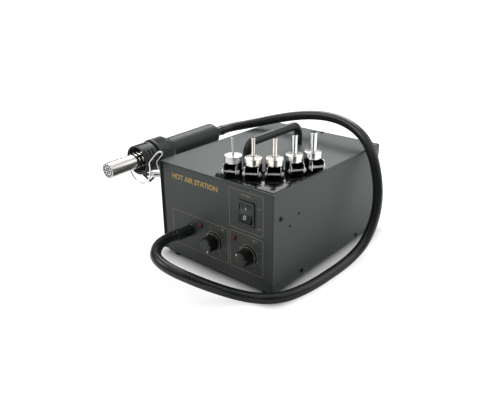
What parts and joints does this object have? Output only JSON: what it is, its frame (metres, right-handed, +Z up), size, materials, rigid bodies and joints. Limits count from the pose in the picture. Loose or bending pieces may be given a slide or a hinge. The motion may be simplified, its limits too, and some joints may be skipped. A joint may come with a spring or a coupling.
{
  "type": "hot air rework station",
  "caption": "Bench hot air station: a black sheet metal case with dials and a switch, a hose to a handpiece in a wire holder, a carry handle and spare clamp-on nozzles.",
  "frame": {"origin": "middle of the base of everything but the hose, on the surface it stands on", "axes": "+X to the right seen from the front, +Y from the front panel to the back, +Z up"},
  "size_m": [0.277, 0.3366, 0.1825],
  "materials": {
    "powder_coat": "fine matt powder coat on steel sheet",
    "printed_panel": "satin black panel with printed frames and dials",
    "foot_rubber": "matt",
    "handle_rubber": "satin",
    "gloss_plate": "mirror-like black",
    "black_plastic": "satin moulded",
    "knob_plastic": "gloss with a fine spun face",
    "lamp_red": "clear dark red, unlit",
    "hose_rubber": "satin",
    "zinc": "plated, dull",
    "bright_steel": "polished",
    "board_green": "lacquered board",
    "core_iron": "laminated",
    "copper": "enamelled winding",
    "ceramic": "dull ceramic",
    "handle_plastic": "satin moulded"
  },
  "bodies": {
    "case": {"chassis": "powder_coat", "top_cover": "powder_coat", "front_panel": "printed_panel", "foot_front_left": "foot_rubber", "foot_front_right": "foot_rubber", "foot_rear_left": "foot_rubber", "foot_rear_right": "foot_rubber", "carry_handle": "handle_rubber", "nozzle_plate": "gloss_plate", "switch_housing": "black_plastic", "hose_gland": "hose_rubber", "gland_nut": "zinc", "air_control": "zinc", "air_lamp": "lamp_red", "heat_control": "zinc", "heat_lamp": "lamp_red", "control_board": "board_green", "transformer_core": "core_iron", "transformer_coil": "copper", "pump_base": "zinc", "pump_core": "core_iron", "pump_coil": "copper", "pump_chamber": "black_plastic", "pump_bellows": "hose_rubber", "air_tube": "hose_rubber", "mains_inlet": "black_plastic", "fuse_holder": "black_plastic", "holder_bracket": "bright_steel", "holder_gusset": "powder_coat", "holder_wire": "bright_steel", "hose": "hose_rubber"},
    "power_rocker": {"switch_rocker": "black_plastic"},
    "air_dial": {"air_knob": "knob_plastic", "air_control_shaft": "bright_steel"},
    "heat_dial": {"heat_knob": "knob_plastic", "heat_control_shaft": "bright_steel"},
    "pump_lever": {"pump_arm": "zinc"},
    "fuse_carrier": {"fuse_cap": "black_plastic"},
    "handpiece": {"heater_tube": "bright_steel", "outlet_grille": "bright_steel", "heater_element": "ceramic", "heater_guard": "handle_plastic", "handle_collar": "handle_plastic", "handle_grip": "handle_plastic", "tail_sleeve": "hose_rubber"},
    "nozzle_set_1": {"nozzle_1": "bright_steel", "clamp_screw_1": "bright_steel", "clamp_nut_1": "bright_steel"},
    "nozzle_set_2": {"nozzle_2": "bright_steel", "clamp_screw_2": "bright_steel", "clamp_nut_2": "bright_steel"},
    "nozzle_set_3": {"nozzle_3": "bright_steel", "clamp_screw_3": "bright_steel", "clamp_nut_3": "bright_steel"},
    "nozzle_set_4": {"nozzle_4": "bright_steel", "clamp_screw_4": "bright_steel", "clamp_nut_4": "bright_steel"},
    "nozzle_set_5": {"nozzle_5": "bright_steel", "clamp_screw_5": "bright_steel", "clamp_nut_5": "bright_steel"}
  },
  "joints": [
    {"name": "power_switch", "type": "hinge", "parent": "case", "child": "power_rocker", "pos_m": [0.07597, -0.08874, 0.1013], "axis": [1, 0, 0], "range_deg": [0, 23]},
    {"name": "air_dial_turn", "type": "hinge", "parent": "case", "child": "air_dial", "pos_m": [0.02147, -0.09174, 0.0463], "axis": [0, 1, 0], "range_deg": [-294, 6]},
    {"name": "heat_dial_turn", "type": "hinge", "parent": "case", "child": "heat_dial", "pos_m": [0.07847, -0.09174, 0.0463], "axis": [0, 1, 0], "range_deg": [-114, 186]},
    {"name": "pump_stroke", "type": "hinge", "parent": "case", "child": "pump_lever", "pos_m": [-0.02203, 0.03876, 0.064], "axis": [1, 0, 0], "range_deg": [-2, 2], "stiffness_Nm_per_rad": 3, "deforming": ["pump_bellows"]},
    {"name": "fuse_cap_turn", "type": "hinge", "parent": "case", "child": "fuse_carrier", "pos_m": [0.03297, 0.15236, 0.04], "axis": [0, 1, 0], "range_deg": [0, 90]},
    {"name": "handpiece_lift", "type": "slide", "parent": "case", "child": "handpiece", "axis": [0, -0.0251, 0.9997], "range_m": [0, 0.045]},
    {"name": "nozzle_1_lift", "type": "slide", "parent": "case", "child": "nozzle_set_1", "axis": [0, 0, 1], "range_m": [0, 0.05]},
    {"name": "nozzle_2_lift", "type": "slide", "parent": "case", "child": "nozzle_set_2", "axis": [0, 0, 1], "range_m": [0, 0.05]},
    {"name": "nozzle_3_lift", "type": "slide", "parent": "case", "child": "nozzle_set_3", "axis": [0, 0, 1], "range_m": [0, 0.05]},
    {"name": "nozzle_4_lift", "type": "slide", "parent": "case", "child": "nozzle_set_4", "axis": [0, 0, 1], "range_m": [0, 0.05]},
    {"name": "nozzle_5_lift", "type": "slide", "parent": "case", "child": "nozzle_set_5", "axis": [0, 0, 1], "range_m": [0, 0.05]}
  ]
}
